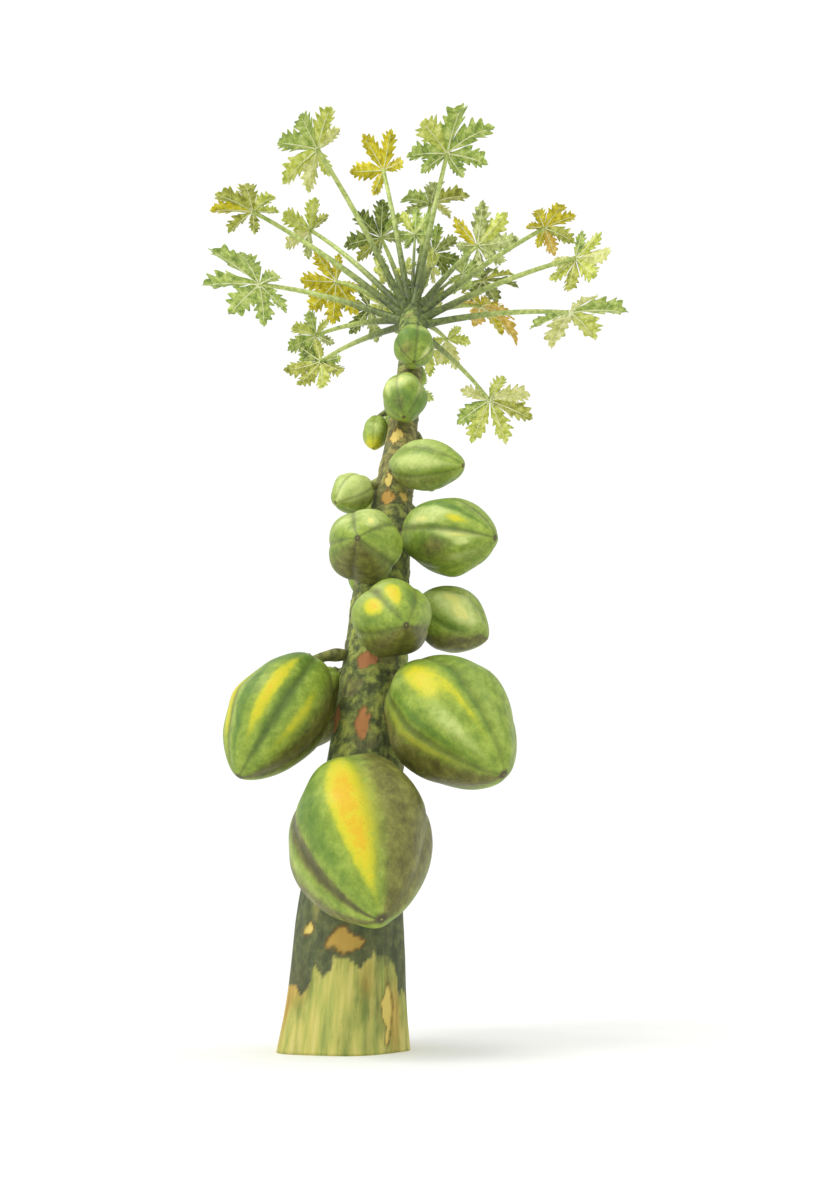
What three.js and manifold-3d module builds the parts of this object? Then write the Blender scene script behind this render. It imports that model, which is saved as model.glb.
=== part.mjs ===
// Papaya tree: a leaning, tapering trunk, fruit on short stalks along it, and a round crown of
// long-stalked, deeply lobed leaves. Millimetres, +Z up. The origin is at the middle of the flat
// cut under the trunk, at ground level. Bearings are in degrees from +X, towards +Y.
import * as THREE from "three";
import { mergeVertices } from "three/addons/utils/BufferGeometryUtils.js";
import Module from "manifold-3d";

const wasm = await Module();
wasm.setup();

// ---- Driving dimensions ----
const CLEARANCE = 0.3;

// Trunk stations from the flat cut to the tip: height, centre x, centre y, radius.
const TRUNK = [
  [0, 0, 0, 106],
  [60, 0, 1, 102],
  [220, -2, 6, 97],
  [500, 9, 12, 82],
  [800, 20, 15, 76],
  [1000, 27, 13, 72],
  [1300, 48, 9, 58],
  [1600, 71, 4, 49],
  [1950, 91, 0, 43],
  [2240, 93, 0, 46],
  [2340, 92, 0, 40],
  [2400, 92, 0, 22],
  [2420, 92, 0, 8],
];
const TRUNK_SIDES = 24;
const TRUNK_STEP = 86;
const FLARE_RIBS = 5;
const FLARE_DEPTH = 5;
const FLARE_HEIGHT = 260;

// Fruit: height of the stem end, bearing round the trunk, lean out from hanging straight down,
// turn of that lean, distance from the bark to the stem end, length and width.
const FRUITS = [
  { height: 420, bearing: -97, lean: 36, turn: 34, out: 54, length: 320, width: 240 },
  { height: 700, bearing: 208, lean: 23, turn: 0, out: 70, length: 310, width: 214 },
  { height: 645, bearing: -46, lean: 41, turn: 6, out: 44, length: 344, width: 248 },
  { height: 810, bearing: -82, lean: 52, turn: 14, out: 24, length: 222, width: 176 },
  { height: 910, bearing: 3, lean: 62, turn: 3, out: 16, length: 212, width: 178 },
  { height: 1090, bearing: -42, lean: 62, turn: 8, out: 14, length: 290, width: 204 },
  { height: 1000, bearing: -106, lean: 60, turn: 12, out: 16, length: 214, width: 182 },
  { height: 1290, bearing: 211, lean: 38, turn: 0, out: 27, length: 150, width: 117 },
  { height: 1335, bearing: -92, lean: 57, turn: 57, out: 22, length: 278, width: 142 },
  { height: 1690, bearing: 161, lean: 4, turn: 0, out: 52, length: 154, width: 92 },
  { height: 1675, bearing: -89, lean: 0, turn: 0, out: 76, length: 185, width: 142 },
  { height: 1955, bearing: -82, lean: 0, turn: 0, out: 76, length: 174, width: 142 },
  { height: 500, bearing: 92, lean: 32, turn: 0, out: 44, length: 284, width: 200 },
  { height: 720, bearing: 42, lean: 45, turn: 0, out: 28, length: 270, width: 190 },
  { height: 740, bearing: 144, lean: 50, turn: 0, out: 26, length: 250, width: 180 },
  { height: 960, bearing: 96, lean: 22, turn: 0, out: 60, length: 250, width: 178 },
  { height: 1230, bearing: 112, lean: 20, turn: 0, out: 58, length: 226, width: 158 },
  { height: 1280, bearing: 38, lean: 55, turn: 0, out: 16, length: 214, width: 152 },
  { height: 1470, bearing: 118, lean: 12, turn: 0, out: 65, length: 200, width: 140 },
  { height: 1600, bearing: 48, lean: 12, turn: 0, out: 54, length: 188, width: 132 },
  { height: 1830, bearing: 108, lean: 10, turn: 0, out: 54, length: 165, width: 116 },
  { height: 2090, bearing: 84, lean: 10, turn: 0, out: 42, length: 140, width: 98 },
];
const FRUIT_RIDGES = 5;
const FRUIT_SIDES = 15;
const FRUIT_RINGS = 7;
const RIDGE_DEPTH = 0.045;
const STALK_RADIUS = 11;

// Leaves: bearing and rise of the leaf's hub seen from the crown's centre, its reach from there, the
// length of the middle lobe, the number of lobes, the blade's droop, its roll to one side, its spin
// round the hub and its tint.
const CROWN = new THREE.Vector3(92, 0, 2330);
const LEAVES = [
  { bearing: -179, rise: 16, reach: 670, lobe: 255, lobes: 7, droop: -10, roll: -20, spin: 8, tint: "mid" },
  { bearing: -160, rise: 25, reach: 750, lobe: 184, lobes: 7, droop: 20, roll: -20, spin: 32, tint: "olive" },
  { bearing: -129, rise: 31, reach: 650, lobe: 194, lobes: 7, droop: 30, roll: 10, spin: -24, tint: "light" },
  { bearing: -110, rise: 56, reach: 600, lobe: 160, lobes: 5, droop: -20, roll: -10, spin: -16, tint: "ochre" },
  { bearing: -170, rise: 49, reach: 700, lobe: 176, lobes: 5, droop: 30, roll: 0, spin: 32, tint: "light" },
  { bearing: -153, rise: 72, reach: 500, lobe: 194, lobes: 7, droop: 15, roll: 0, spin: 24, tint: "dark" },
  { bearing: 166, rise: 49, reach: 550, lobe: 208, lobes: 7, droop: 30, roll: 24, spin: -12, tint: "yellow" },
  { bearing: 128, rise: 57, reach: 650, lobe: 180, lobes: 5, droop: 14, roll: 8, spin: 10, tint: "dark" },
  { bearing: 145, rise: 34, reach: 700, lobe: 184, lobes: 7, droop: 28, roll: -15, spin: 28, tint: "light" },
  { bearing: 141, rise: 20, reach: 600, lobe: 188, lobes: 7, droop: 45, roll: 52, spin: 0, tint: "olive" },
  { bearing: -72, rise: 36, reach: 550, lobe: 214, lobes: 7, droop: 20, roll: 15, spin: -8, tint: "mid" },
  { bearing: -67, rise: 68, reach: 550, lobe: 194, lobes: 5, droop: 30, roll: 20, spin: -8, tint: "grey" },
  { bearing: -17, rise: 51, reach: 470, lobe: 190, lobes: 7, droop: -35, roll: -45, spin: -12, tint: "grey" },
  { bearing: 0, rise: 79, reach: 500, lobe: 145, lobes: 7, droop: -5, roll: -18, spin: -32, tint: "dark" },
  { bearing: 23, rise: 56, reach: 650, lobe: 205, lobes: 7, droop: -20, roll: 30, spin: -18, tint: "dark" },
  { bearing: -18, rise: 28, reach: 650, lobe: 158, lobes: 7, droop: 5, roll: 20, spin: -12, tint: "yellow" },
  { bearing: -10, rise: 15, reach: 700, lobe: 166, lobes: 7, droop: 35, roll: -50, spin: 32, tint: "light" },
  { bearing: 4, rise: 6, reach: 670, lobe: 270, lobes: 5, droop: -10, roll: 35, spin: 36, tint: "mid" },
  { bearing: 31, rise: 47, reach: 550, lobe: 250, lobes: 7, droop: 0, roll: 50, spin: -14, tint: "ochre" },
  { bearing: 63, rise: 43, reach: 500, lobe: 146, lobes: 5, droop: 16, roll: 4, spin: -6, tint: "light" },
  { bearing: 80, rise: 45, reach: 650, lobe: 140, lobes: 5, droop: 20, roll: -4, spin: 0, tint: "light" },
  { bearing: 54, rise: 12, reach: 660, lobe: 262, lobes: 7, droop: 12, roll: 5, spin: 8, tint: "light" },
  { bearing: 100, rise: 68, reach: 480, lobe: 180, lobes: 7, droop: 14, roll: 4, spin: -6, tint: "mid" },
  { bearing: 90, rise: 26, reach: 600, lobe: 140, lobes: 5, droop: 16, roll: 6, spin: -10, tint: "mid" },
];
const PETIOLE_SIDES = 6;
const PETIOLE_STEPS = 5;
const PETIOLE_ROOT_RADIUS = 14;
const PETIOLE_TIP_RADIUS = 7;
const PETIOLE_ARCH = 0.06;
const ROOT_LOW = 2205;
const ROOT_HIGH = 2400;
const BLADE_HALF_THICKNESS = 4.5;
const BLADE_SAG = 0.26;

// Lobe angles from the middle lobe, and lengths beside the middle lobe's.
const LOBE_PLANS = {
  5: { angles: [-112, -55, 0, 55, 112], lengths: [0.68, 0.92, 1, 0.92, 0.68] },
  7: { angles: [-132, -86, -42, 0, 42, 86, 132], lengths: [0.62, 0.84, 0.96, 1, 0.96, 0.84, 0.62] },
};
// One side of a lobe: distance along the midrib and half width, both as shares of the lobe's length.
const LOBE_SIDE = [
  [0.42, 0.075],
  [0.62, 0.19],
  [0.68, 0.12],
  [0.86, 0.13],
];
const SINUS_DEPTH = 0.3;
const REAR_NOTCH = 0.05;
const MIDRIB = [0.38, 0.7];

const COLOURS = {
  bark: 0x828848,
  fruit: 0x9bb44c,
  dark: 0x5f6f2c,
  mid: 0x7f9a4a,
  light: 0xa9b956,
  olive: 0x8d9040,
  grey: 0x9aa56e,
  yellow: 0xc9b92e,
  ochre: 0xcf9f3e,
};

// ---- Helpers ----
const UP = new THREE.Vector3(0, 0, 1);
const radians = THREE.MathUtils.degToRad;

function aim(bearing, rise) {
  const level = Math.cos(radians(rise));
  const x = level * Math.cos(radians(bearing));
  const y = level * Math.sin(radians(bearing));
  return new THREE.Vector3(x, y, Math.sin(radians(rise)));
}

const trunkCurve = new THREE.CubicInterpolant(
  TRUNK.map((row) => row[0]),
  TRUNK.flatMap((row) => row.slice(1)),
  3,
  new Float32Array(3),
);

function trunkAt(height) {
  const [x, y, radius] = trunkCurve.evaluate(height);
  return { centre: new THREE.Vector3(x, y, height), radius };
}

// A closed skin through rings of points, each ring with the same count, closed by a fan at both ends.
function skin(rings) {
  const sides = rings[0].length;
  const middle = (ring) => ring.reduce((sum, p) => sum.add(p), new THREE.Vector3()).divideScalar(sides);
  const points = [...rings.flat(), middle(rings[0]), middle(rings.at(-1))];
  const first = points.length - 2;
  const last = points.length - 1;
  const faces = [];
  for (let side = 0; side < sides; side++) {
    const next = (side + 1) % sides;
    for (let row = 0; row < rings.length - 1; row++) {
      const a = row * sides + side;
      const b = row * sides + next;
      faces.push(a, b, b + sides, a, b + sides, a + sides);
    }
    const top = (rings.length - 1) * sides;
    faces.push(first, next, side, last, top + side, top + next);
  }
  return shape(points, faces);
}

function shape(points, faces) {
  const geometry = new THREE.BufferGeometry().setFromPoints(points);
  geometry.setIndex(faces);
  return geometry;
}

// A round limb along a curve; radius is a function of the share of its length.
function limb(curve, radius, sides, steps) {
  const frames = curve.computeFrenetFrames(steps, false);
  const rings = frames.normals.map((normal, step) => {
    const share = step / steps;
    const centre = curve.getPointAt(share);
    return circle(centre, normal, frames.binormals[step], sides, () => radius(share));
  });
  return skin(rings);
}

function circle(centre, across, beyond, sides, radius) {
  return Array.from({ length: sides }, (_, side) => {
    const angle = (side / sides) * 2 * Math.PI;
    const reach = radius(angle);
    const point = centre.clone().addScaledVector(across, reach * Math.cos(angle));
    return point.addScaledVector(beyond, reach * Math.sin(angle));
  });
}

function solid(geometry) {
  const merged = mergeVertices(geometry, 1e-4);
  const vertProperties = new Float32Array(merged.attributes.position.array);
  const triVerts = new Uint32Array(merged.index.array);
  return new wasm.Manifold(new wasm.Mesh({ numProp: 3, vertProperties, triVerts }));
}

function named(name, body, colour, roughness) {
  const { vertProperties, triVerts } = body.getMesh();
  const geometry = new THREE.BufferGeometry();
  geometry.setAttribute("position", new THREE.BufferAttribute(vertProperties, 3));
  geometry.setIndex(new THREE.BufferAttribute(triVerts, 1));
  geometry.computeVertexNormals();
  const material = new THREE.MeshStandardMaterial({ color: colour, roughness, metalness: 0 });
  const mesh = new THREE.Mesh(geometry, material);
  mesh.name = name;
  return mesh;
}

function number(index) {
  return String(index + 1).padStart(2, "0");
}

// ---- Trunk ----
function flare(height, angle) {
  const fade = Math.max(0, 1 - height / FLARE_HEIGHT);
  return FLARE_DEPTH * fade * fade * Math.cos(FLARE_RIBS * angle);
}

function trunkSolid(growth) {
  const tip = TRUNK.at(-1)[0];
  const heights = [];
  for (let height = 0; height < tip - TRUNK_STEP; height += TRUNK_STEP) {
    heights.push(height);
  }
  heights.push(tip - 60, tip - 25, tip);
  const across = new THREE.Vector3(1, 0, 0);
  const beyond = new THREE.Vector3(0, 1, 0);
  const rings = heights.map((height) => {
    const { centre, radius } = trunkAt(height);
    centre.z += height === tip ? growth : 0;
    return circle(centre, across, beyond, TRUNK_SIDES, (angle) => radius + growth + flare(height, angle));
  });
  return solid(skin(rings));
}

// ---- Fruit ----
// Half width of the body at a share of its length: round at the stem, drawn to a blunt point at the tip.
function fruitProfile(share) {
  const along = 2 * share ** 1.1 - 1;
  const round = Math.sqrt(Math.max(0, 1 - along * along));
  const pointed = 1 - Math.abs(along) ** 1.4;
  return along < 0 ? round : 0.55 * round + 0.45 * pointed;
}

function fruitSolid({ height, bearing, lean, turn, out, length, width }, bark) {
  const { centre, radius } = trunkAt(height);
  const outward = aim(bearing, 0);
  const stem = centre.clone().addScaledVector(outward, radius + out);
  const axis = aim(bearing + turn, lean - 90);
  const across = new THREE.Vector3().crossVectors(axis, UP).normalize();
  const beyond = new THREE.Vector3().crossVectors(axis, across);
  const rings = [];
  for (let ring = 0; ring <= FRUIT_RINGS; ring++) {
    const share = 0.5 - 0.5 * Math.cos((Math.PI * (ring + 0.35)) / (FRUIT_RINGS + 0.7));
    const middle = stem.clone().addScaledVector(axis, share * length);
    const half = (width / 2) * fruitProfile(share);
    rings.push(circle(middle, across, beyond, FRUIT_SIDES, (angle) => half * ridge(angle)));
  }
  const root = trunkAt(height + 0.5 * out).centre;
  const elbow = stem.clone().addScaledVector(axis, -0.35 * out);
  const sunk = stem.clone().addScaledVector(axis, 0.06 * length);
  const spine = new THREE.QuadraticBezierCurve3(root, elbow, sunk);
  const stalk = solid(limb(spine, () => STALK_RADIUS, PETIOLE_SIDES, 3));
  return solid(skin(rings)).add(stalk).subtract(bark);
}

function ridge(angle) {
  return 1 + RIDGE_DEPTH * (Math.cos(FRUIT_RIDGES * angle) - 1);
}

// ---- Leaves ----
// The strip of faces between the midrib and one edge of a lobe; both chains end at the same tip.
function strip(ribChain, edgeChain) {
  const faces = [];
  let rib = 0;
  let edge = 0;
  while (rib < ribChain.length - 1 || edge < edgeChain.length - 1) {
    const nextRib = ribChain[rib + 1];
    const nextEdge = edgeChain[edge + 1];
    const stepEdge = rib === ribChain.length - 1 || (nextEdge && nextEdge.share <= nextRib.share);
    const moved = stepEdge ? nextEdge : nextRib;
    if (ribChain[rib].point !== moved.point && edgeChain[edge].point !== moved.point) {
      faces.push([ribChain[rib].point, edgeChain[edge].point, moved.point]);
    }
    edge += stepEdge ? 1 : 0;
    rib += stepEdge ? 0 : 1;
  }
  return faces;
}

function bladeSolid(hub, bearing, { lobe, lobes, droop, roll, spin }) {
  const { angles, lengths } = LOBE_PLANS[lobes];
  const forward = aim(bearing, -droop);
  const sideways = aim(bearing + 90, 0).applyAxisAngle(forward, radians(roll));
  const normal = new THREE.Vector3().crossVectors(forward, sideways);
  forward.applyAxisAngle(normal, radians(spin));
  sideways.applyAxisAngle(normal, radians(spin));
  const points = [];
  const rim = new Set();
  const place = (along, across, thickness) => {
    const spread = Math.hypot(along, across) / lobe;
    const point = hub.clone().addScaledVector(forward, along).addScaledVector(sideways, across);
    point.addScaledVector(normal, -BLADE_SAG * lobe * spread * spread);
    points.push({ point, thickness });
    return points.length - 1;
  };
  const polar = (angle, distance, thickness) => {
    return place(distance * Math.cos(radians(angle)), distance * Math.sin(radians(angle)), thickness);
  };
  const edgePoint = (angle, along, half) => {
    const cos = Math.cos(radians(angle));
    const sin = Math.sin(radians(angle));
    const index = place(along * cos - half * sin, along * sin + half * cos, 0);
    rim.add(index);
    return index;
  };
  const centre = place(0, 0, BLADE_HALF_THICKNESS);
  const rear = edgePoint(180, REAR_NOTCH * lobe, 0);
  const sinuses = angles.slice(1).map((angle, index) => {
    const length = lobe * Math.min(lengths[index], lengths[index + 1]);
    return edgePoint((angle + angles[index]) / 2, SINUS_DEPTH * length, 0);
  });
  const faces = [];
  angles.forEach((angle, index) => {
    const length = lobe * lengths[index];
    const tip = { point: edgePoint(angle, length, 0), share: 1 };
    const ribs = MIDRIB.map((share) => {
      return { point: polar(angle, share * length, BLADE_HALF_THICKNESS * (1 - 0.4 * share)), share };
    });
    const ribChain = [{ point: centre, share: 0 }, ...ribs, tip];
    [-1, 1].forEach((hand) => {
      const start = sinuses[hand < 0 ? index - 1 : index] ?? rear;
      const edges = LOBE_SIDE.map(([share, half]) => {
        return { point: edgePoint(angle, share * length, hand * half * length), share };
      });
      const edgeChain = [{ point: start, share: 0 }, ...edges, tip];
      strip(ribChain, edgeChain).forEach(([a, b, c]) => faces.push(hand > 0 ? [a, c, b] : [a, b, c]));
    });
  });
  const count = points.length;
  const top = points.map(({ point, thickness }) => point.clone().addScaledVector(normal, thickness));
  const under = points.map(({ point, thickness }) => point.clone().addScaledVector(normal, -thickness));
  const below = (index) => (rim.has(index) ? index : index + count);
  const upper = faces.flat();
  const lower = faces.flatMap(([a, b, c]) => [below(a), below(c), below(b)]);
  return solid(shape([...top, ...under], [...upper, ...lower]));
}

function hubOf({ bearing, rise, reach }) {
  return CROWN.clone().addScaledVector(aim(bearing, rise), reach);
}

// The petiole leaves the trunk lower down the flatter it lies, and arches up to the hub.
function petioleSolid(leaf, growth) {
  const hub = hubOf(leaf);
  const { centre, radius } = trunkAt(THREE.MathUtils.lerp(ROOT_LOW, ROOT_HIGH, leaf.rise / 90));
  const root = centre.clone().addScaledVector(aim(leaf.bearing, 0), 0.6 * radius);
  const bend = root.clone().lerp(hub, 0.55).addScaledVector(UP, 2 * PETIOLE_ARCH * leaf.reach);
  const spine = new THREE.QuadraticBezierCurve3(root, bend, hub);
  const taper = (share) => THREE.MathUtils.lerp(PETIOLE_ROOT_RADIUS, PETIOLE_TIP_RADIUS, share);
  return solid(limb(spine, (share) => taper(share) + growth, PETIOLE_SIDES, PETIOLE_STEPS));
}

// Crowded petioles press flat against the ones before them; any scrap that this cuts off is dropped.
function leafSolid(leaf, obstacles) {
  const whole = petioleSolid(leaf, 0).subtract(wasm.Manifold.union(obstacles));
  const [petiole] = whole.decompose().sort((a, b) => b.volume() - a.volume());
  return petiole.add(bladeSolid(hubOf(leaf), leaf.bearing, leaf));
}

// ---- The tree ----
const group = new THREE.Group();
group.add(named("trunk", trunkSolid(0), COLOURS.bark, 0.85));
const bark = trunkSolid(CLEARANCE);
FRUITS.forEach((fruit, index) => {
  group.add(named(`fruit_${number(index)}`, fruitSolid(fruit, bark), COLOURS.fruit, 0.45));
});
const obstacles = [bark];
LEAVES.forEach((leaf, index) => {
  group.add(named(`leaf_${number(index)}`, leafSolid(leaf, obstacles), COLOURS[leaf.tint], 0.6));
  obstacles.push(petioleSolid(leaf, CLEARANCE));
});

export default group;
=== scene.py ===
# %% [markdown]
# # A papaya tree
#
# A papaya is a giant herb more than a tree. One soft, unbranched stem carries its fruit close
# against the bark, and ends in a parasol of long-stalked, hand-shaped leaves. The solid model
# gives the sizes and places. This script grows the same plant again, finer: bark with its leaf
# scars, ridged fruit that ripen from green to yellow, and blades cut into toothed lobes.

# %% Load the frame
import math

import bpy
import numpy as np
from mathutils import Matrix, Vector


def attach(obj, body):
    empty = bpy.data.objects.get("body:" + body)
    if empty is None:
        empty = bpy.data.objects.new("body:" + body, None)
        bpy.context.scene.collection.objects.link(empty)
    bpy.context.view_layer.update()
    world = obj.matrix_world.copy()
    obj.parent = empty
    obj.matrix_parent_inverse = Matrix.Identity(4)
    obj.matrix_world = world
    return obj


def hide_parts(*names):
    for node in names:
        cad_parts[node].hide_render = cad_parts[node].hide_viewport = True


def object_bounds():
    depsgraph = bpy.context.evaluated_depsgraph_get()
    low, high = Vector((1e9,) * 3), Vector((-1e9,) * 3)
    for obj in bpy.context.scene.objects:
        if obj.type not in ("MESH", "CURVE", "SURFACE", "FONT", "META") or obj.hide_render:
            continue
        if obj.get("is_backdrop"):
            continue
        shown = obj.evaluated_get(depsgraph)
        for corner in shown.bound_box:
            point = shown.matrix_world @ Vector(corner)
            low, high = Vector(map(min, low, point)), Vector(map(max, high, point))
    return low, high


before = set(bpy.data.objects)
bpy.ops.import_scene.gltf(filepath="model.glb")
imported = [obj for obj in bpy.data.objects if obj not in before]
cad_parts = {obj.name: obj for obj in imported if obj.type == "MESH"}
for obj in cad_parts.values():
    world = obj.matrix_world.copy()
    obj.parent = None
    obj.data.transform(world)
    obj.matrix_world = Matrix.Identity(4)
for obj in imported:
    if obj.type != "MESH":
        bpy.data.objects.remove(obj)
CAD_BOX = [list(corner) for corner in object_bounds()]
MM = 0.001
print(len(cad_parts), "nodes in the solid model")
print("solid model box, metres:", [[round(v, 3) for v in corner] for corner in CAD_BOX])

# %% [markdown]
# ## The stem's line
#
# A papaya stem leans and straightens as it grows, so its centre is a smooth curve and not a
# straight post. Each row holds a height, the centre's place at that height and the radius, in
# millimetres. Between rows the values follow a smooth curve through the neighbours, which gives
# an even taper with no rings where the rows meet. A curve object with a bevel would do this too,
# but a function can be asked for the bark's place anywhere, and the fruit and leaves need that.

# %% The stem's stations
TRUNK = np.array([
    [0, 0, 0, 106],
    [60, 0, 1, 102],
    [220, -2, 6, 97],
    [500, 9, 12, 82],
    [800, 20, 15, 76],
    [1000, 27, 13, 72],
    [1300, 48, 9, 58],
    [1600, 71, 4, 49],
    [1950, 91, 0, 43],
    [2240, 93, 0, 46],
    [2340, 92, 0, 40],
    [2400, 92, 0, 22],
    [2420, 92, 0, 8],
], float)
TIP = TRUNK[-1, 0]
SLOPES = np.gradient(TRUNK[:, 1:], TRUNK[:, 0], axis=0)


def trunk_at(height):
    """Centre x, centre y and radius of the stem at each height, all in millimetres."""
    height = np.asarray(height, float)
    row = np.clip(np.searchsorted(TRUNK[:, 0], height) - 1, 0, len(TRUNK) - 2)
    span = TRUNK[row + 1, 0] - TRUNK[row, 0]
    t = ((height - TRUNK[row, 0]) / span)[..., None]
    span = span[..., None]
    start, end = TRUNK[row, 1:], TRUNK[row + 1, 1:]
    rise = (2 * t**3 - 3 * t**2 + 1) * start + (3 * t**2 - 2 * t**3) * end
    bend = (t**3 - 2 * t**2 + t) * span * SLOPES[row] + (t**3 - t**2) * span * SLOPES[row + 1]
    return rise + bend


print("stem radius at 0, 1 and 2 m:", [round(float(trunk_at(h)[2]), 1) for h in (0, 1000, 2000)])

# %% [markdown]
# ## Making meshes from arrays
#
# Thousands of points are quicker to place with numpy than one by one. A tube or a fruit is a
# grid of points wrapped round a line, so one function turns a grid into a closed skin, and
# another lays rings of points along any line. A modifier could skin a line as well, but it gives
# no say in where each point goes.

# %% Directions, steps and bell curves
def unit(vector):
    vector = np.asarray(vector, float)
    return vector / np.linalg.norm(vector, axis=-1, keepdims=True)


def aim(bearing, rise):
    """A direction from its bearing round the stem and its rise above level, in degrees."""
    bearing, rise = math.radians(bearing), math.radians(rise)
    level = math.cos(rise)
    return np.array([level * math.cos(bearing), level * math.sin(bearing), math.sin(rise)])


def smooth(low, high, value):
    """0 below low, 1 above high, and an even ramp between them."""
    share = np.clip((np.asarray(value, float) - low) / (high - low), 0, 1)
    return share * share * (3 - 2 * share)


def bell(value):
    """1 at 0, and a soft fall to nothing by 2 on either side."""
    return np.exp(-(value**2))


# %% From a grid to a piece
def wrapped_faces(rows, sides):
    """Quads of a grid of rows whose last column joins the first."""
    row, side = np.meshgrid(np.arange(rows - 1), np.arange(sides), indexing="ij")
    after = (side + 1) % sides
    here, above = row * sides, (row + 1) * sides
    quads = [here + side, here + after, above + after, above + side]
    return np.stack(quads, -1).reshape(-1, 4)


def capped_tube(grid):
    """Points and faces of a closed skin over a grid of rings."""
    rows, sides = grid.shape[:2]
    points = np.concatenate([grid.reshape(-1, 3), [grid[0].mean(0)], [grid[-1].mean(0)]])
    side = np.arange(sides)
    after = (side + 1) % sides
    top = (rows - 1) * sides
    first = np.stack([np.full(sides, rows * sides), after, side], -1)
    last = np.stack([np.full(sides, rows * sides + 1), top + side, top + after], -1)
    return points, [*wrapped_faces(rows, sides).tolist(), *first.tolist(), *last.tolist()]


def make_piece(name, points, faces, material, layers=None):
    """A smooth-shaded object from points in millimetres, with any values that its points carry."""
    mesh = bpy.data.meshes.new(name)
    mesh.from_pydata((np.asarray(points) * MM).tolist(), [], faces)
    mesh.materials.append(material)
    mesh.shade_smooth()
    for layer, values in (layers or {}).items():
        mesh.attributes.new(layer, "FLOAT", "POINT").data.foreach_set("value", values.astype(np.float32))
    piece = bpy.data.objects.new(name, mesh)
    bpy.context.scene.collection.objects.link(piece)
    print(f"{name}: {len(mesh.vertices)} points, {len(mesh.loops) - 2 * len(mesh.polygons)} triangles")
    return piece


def settle(piece, slot, *nodes):
    """Puts a piece on the root body and hides the nodes of the solid model that it stands for. The slot
    is not used.
    """
    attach(piece, "root")
    if nodes:
        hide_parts(*nodes)


# %% Tubes, and many small things in one piece
def tube_grid(line, radius, sides):
    """Rings of points round a line; the frame is carried along it so that the tube doesn't twist."""
    line = np.asarray(line, float)
    along = unit(np.gradient(line, axis=0))
    across = np.zeros_like(line)
    seed = np.array([0.0, 0.0, 1.0]) if abs(along[0, 2]) < 0.9 else np.array([1.0, 0.0, 0.0])
    across[0] = unit(seed - along[0] * (seed @ along[0]))
    for step in range(1, len(line)):
        carried = across[step - 1] - along[step] * (across[step - 1] @ along[step])
        across[step] = unit(carried)
    beyond = np.cross(along, across)
    angle = np.linspace(0, 2 * math.pi, sides, endpoint=False)[None, :, None]
    radius = np.broadcast_to(np.asarray(radius, float).reshape(len(line), -1, 1), (len(line), sides, 1))
    return line[:, None] + radius * (across[:, None] * np.cos(angle) + beyond[:, None] * np.sin(angle))


class Bundle:
    """Collects the meshes of many small things of one kind, and joins them into one piece."""

    def __init__(self):
        self.points, self.faces, self.count = [], [], 0

    def add(self, points, faces):
        self.points.append(np.asarray(points, float))
        self.faces.extend([[index + self.count for index in face] for face in faces])
        self.count += len(points)

    def make(self, name, material):
        return make_piece(name, np.concatenate(self.points), self.faces, material)


# %% [markdown]
# ## Making materials
#
# Every finish on a plant is a mix: two or three related colours that drift into each other, a
# roughness, and a fine relief. One small function adds a node, sets it and links it, so that
# each material below reads as a short list. Colours are written as the sRGB hex codes that a
# colour picker shows, and turned once into the linear values that the renderer uses.

# %% Adding nodes
def linear(code):
    channels = [int(code[i:i + 2], 16) / 255 for i in (1, 3, 5)]
    return [c / 12.92 if c <= 0.04045 else ((c + 0.055) / 1.055) ** 2.4 for c in channels] + [1.0]


def add(tree, kind, settings=None, out=None, **inputs):
    """Adds one node and gives its output of this name, or else its first one.

    Settings are the node's properties, or a colour ramp's stops. An input is a socket's name, or
    its number as _0 or _1, with what feeds it: another node's output, a value or a hex code.
    """
    node = tree.nodes.new("ShaderNode" + kind)
    for name, value in (settings or {}).items():
        if name != "stops":
            setattr(node, name, value)
            continue
        while len(node.color_ramp.elements) < len(value):
            node.color_ramp.elements.new(0.5)
        for element, (position, code) in zip(node.color_ramp.elements, value):
            element.position = position
            element.color = linear(code)
    for name, source in inputs.items():
        if name[0] == "_":
            socket = node.inputs[int(name[1:])]
        else:
            socket = next(s for s in node.inputs if s.enabled and s.name == name.replace("_", " "))
        if isinstance(source, bpy.types.NodeSocket):
            tree.links.new(source, socket)
        else:
            socket.default_value = linear(source) if isinstance(source, str) else source
    return node.outputs[out] if out else next(s for s in node.outputs if s.enabled)


print("sRGB mid green in linear light:", [round(c, 3) for c in linear("#828848")[:3]])

# %% Patterns and layers that the finishes share
SOFT_ENDS = {"interpolation_type": "SMOOTHSTEP"}


def clouds(tree, lump, detail=4.0, stretch=(1, 1, 1), rough=0.55):
    """Cloudy noise from 0 to 1 with lumps of this size in millimetres, stretched along an axis."""
    place = add(tree, "TexCoord", out="Object")
    place = add(tree, "Mapping", Vector=place, Scale=[1 / (lump * MM * s) for s in stretch])
    return add(tree, "TexNoise", Vector=place, Scale=1.0, Detail=detail, Roughness=rough)


def ragged(tree, layer, flecks, low=0.06, high=0.62):
    """A carried value whose soft edge is broken up by noise, as colour spreads in living skin; painted
    shade gets the same ragged edge.
    """
    uneven = add(tree, "Math", {"operation": "MULTIPLY_ADD"}, _0=flecks, _1=1.5, _2=0.25)
    value = add(tree, "Attribute", {"attribute_name": layer}, out="Fac")
    value = add(tree, "Math", {"operation": "MULTIPLY"}, _0=uneven, _1=value)
    return add(tree, "MapRange", SOFT_ENDS, Value=value, From_Min=low, From_Max=high)


def layered(tree, colour, *coats):
    """Lays coats over a colour: each is a share from 0 to 1, or a value and the two ends that it
    fades in between, and then the coat's colour."""
    for share, *ends, coat in coats:
        if ends:
            share = add(tree, "MapRange", SOFT_ENDS, Value=share, From_Min=ends[0], From_Max=ends[1])
        colour = add(tree, "Mix", {"data_type": "RGBA"}, Factor=share, A=colour, B=coat)
    return colour


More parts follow.
